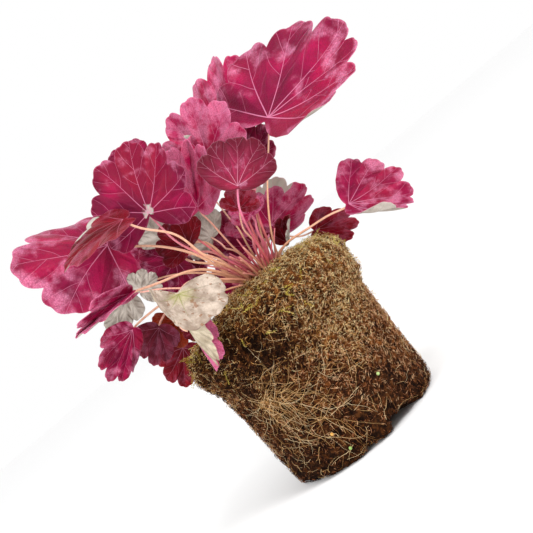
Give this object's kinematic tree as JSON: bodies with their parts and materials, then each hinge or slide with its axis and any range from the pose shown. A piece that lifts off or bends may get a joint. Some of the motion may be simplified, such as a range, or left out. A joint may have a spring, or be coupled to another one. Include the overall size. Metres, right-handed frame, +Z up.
{
  "type": "potless coral bells plant",
  "caption": "Leafy perennial lifted from its pot: a tapered root ball with a mossy rim, a crown of slender stalks and lobed pink-red leaves.",
  "frame": {"origin": "centre of the root ball's flat base, on the surface it stands on", "axes": "+Z up, +X towards the tall leaves on the right, -Y towards the viewer"},
  "size_m": [0.2886, 0.2263, 0.2884],
  "materials": {
    "soil": "rough, crumbly peat with pale roots and moss",
    "stalk": "fine-haired, satin",
    "bead": "resin-coated, slightly glossy",
    "leaf_magenta": "waxy leaf with pale veins",
    "leaf_burgundy": "waxy dark leaf with faint veins",
    "leaf_purple": "waxy leaf with pale veins",
    "leaf_orange": "thin leaf lit from behind",
    "leaf_dried": "dry, matte, beige"
  },
  "bodies": {
    "root": {"root_ball": "soil", "crown_with_stalks": "stalk", "fertiliser_bead_1": "bead", "fertiliser_bead_2": "bead", "fertiliser_bead_3": "bead", "leaf_01": "leaf_magenta", "leaf_02": "leaf_magenta", "leaf_03": "leaf_magenta", "leaf_04": "leaf_magenta", "leaf_05": "leaf_magenta", "leaf_06": "leaf_burgundy", "leaf_07": "leaf_magenta", "leaf_08": "leaf_burgundy", "leaf_09": "leaf_magenta", "leaf_10": "leaf_magenta", "leaf_11": "leaf_magenta", "leaf_12": "leaf_purple", "leaf_13": "leaf_burgundy", "leaf_14": "leaf_dried", "leaf_15": "leaf_magenta", "leaf_16": "leaf_magenta", "leaf_17": "leaf_magenta", "leaf_18": "leaf_magenta", "leaf_19": "leaf_orange", "leaf_20": "leaf_burgundy", "leaf_21": "leaf_magenta", "leaf_22": "leaf_magenta", "leaf_23": "leaf_burgundy", "leaf_24": "leaf_magenta", "leaf_25": "leaf_magenta", "leaf_26": "leaf_burgundy", "leaf_27": "leaf_magenta", "leaf_28": "leaf_magenta", "leaf_29": "leaf_burgundy", "leaf_30": "leaf_magenta", "leaf_31": "leaf_burgundy", "leaf_32": "leaf_magenta", "leaf_33": "leaf_magenta", "leaf_34": "leaf_magenta", "leaf_35": "leaf_magenta", "leaf_36": "leaf_magenta", "leaf_37": "leaf_magenta", "leaf_38": "leaf_magenta", "leaf_39": "leaf_magenta", "leaf_40": "leaf_magenta"}
  },
  "joints": []
}
